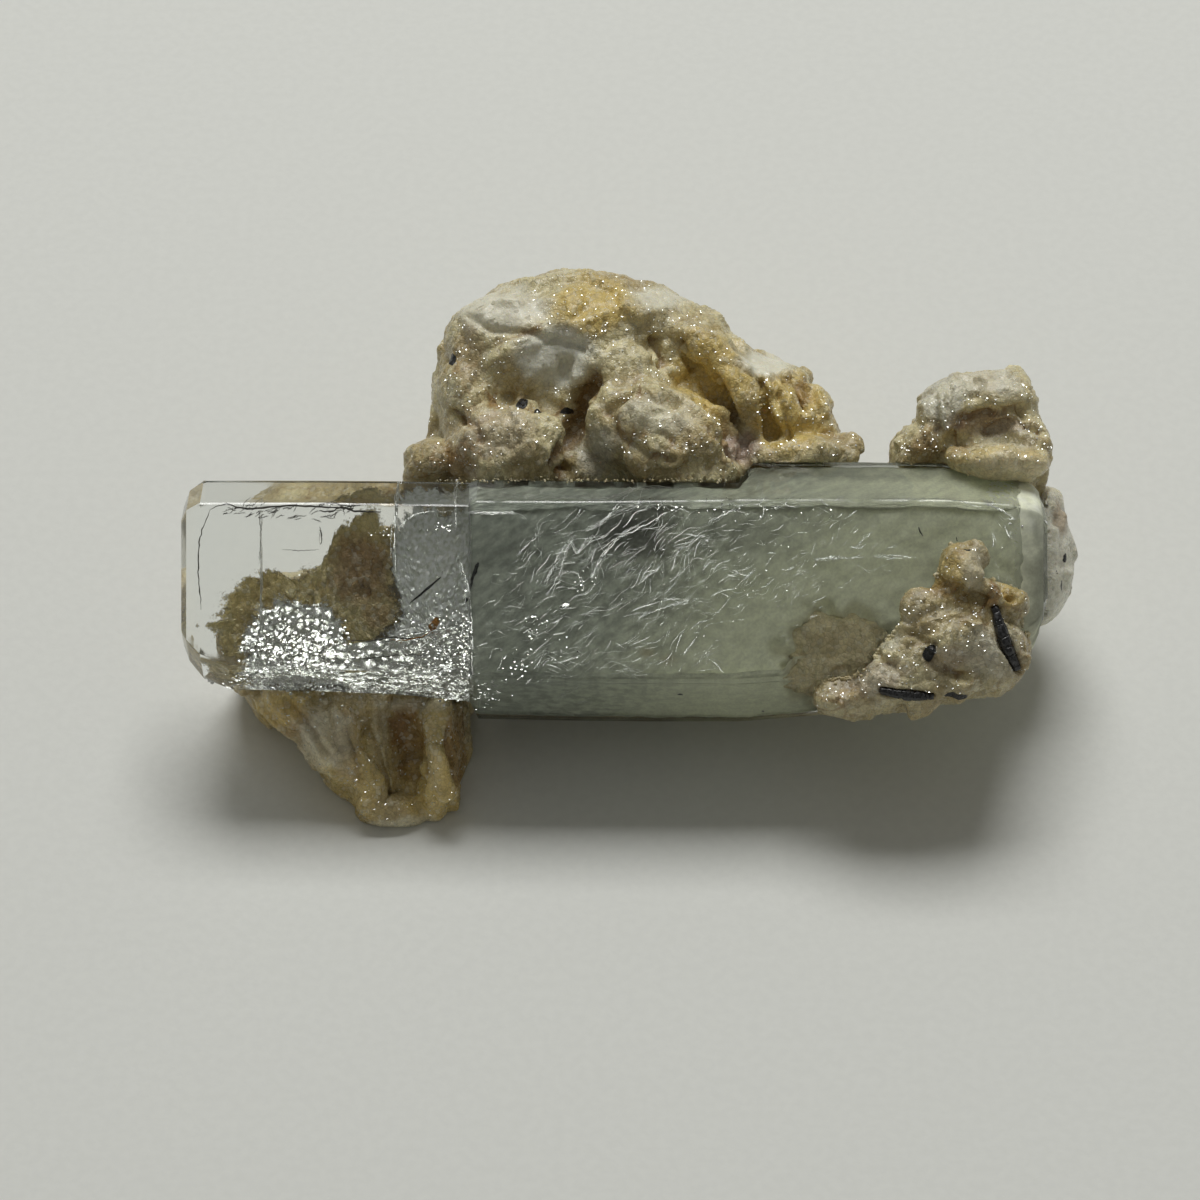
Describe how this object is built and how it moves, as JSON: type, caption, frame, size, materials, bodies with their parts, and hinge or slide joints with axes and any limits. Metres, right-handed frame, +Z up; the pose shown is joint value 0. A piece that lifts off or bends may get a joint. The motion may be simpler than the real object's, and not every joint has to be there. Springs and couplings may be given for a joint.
{
  "type": "mineral specimen",
  "caption": "Long flat-sided aquamarine prism, clear at one end and cloudy at the other, lying on granular albite with black schorl needles; rests flat on a surface.",
  "frame": {"origin": "on the table, under the middle of the specimen's box", "axes": "+X along the prism from its clear tip to its broken end, +Y away from the viewer towards the large albite block, +Z up"},
  "size_m": [0.045, 0.0278, 0.0171],
  "materials": {
    "aquamarine": "vitreous, clear at the tip and milky for the rest",
    "albite_cream": "granular, sparkling, stained yellow",
    "albite_ochre": "fluted, stained brown",
    "albite_grey": "smooth, slightly pink",
    "schorl": "black, striated, glossy"
  },
  "bodies": {
    "root": {"aquamarine_prism": "aquamarine", "albite_back_block": "albite_cream", "albite_foot": "albite_ochre", "albite_right_block": "albite_cream", "albite_end_knob": "albite_grey", "albite_front_cluster": "albite_cream", "schorl_needle": "schorl", "schorl_sliver": "schorl"}
  },
  "joints": []
}
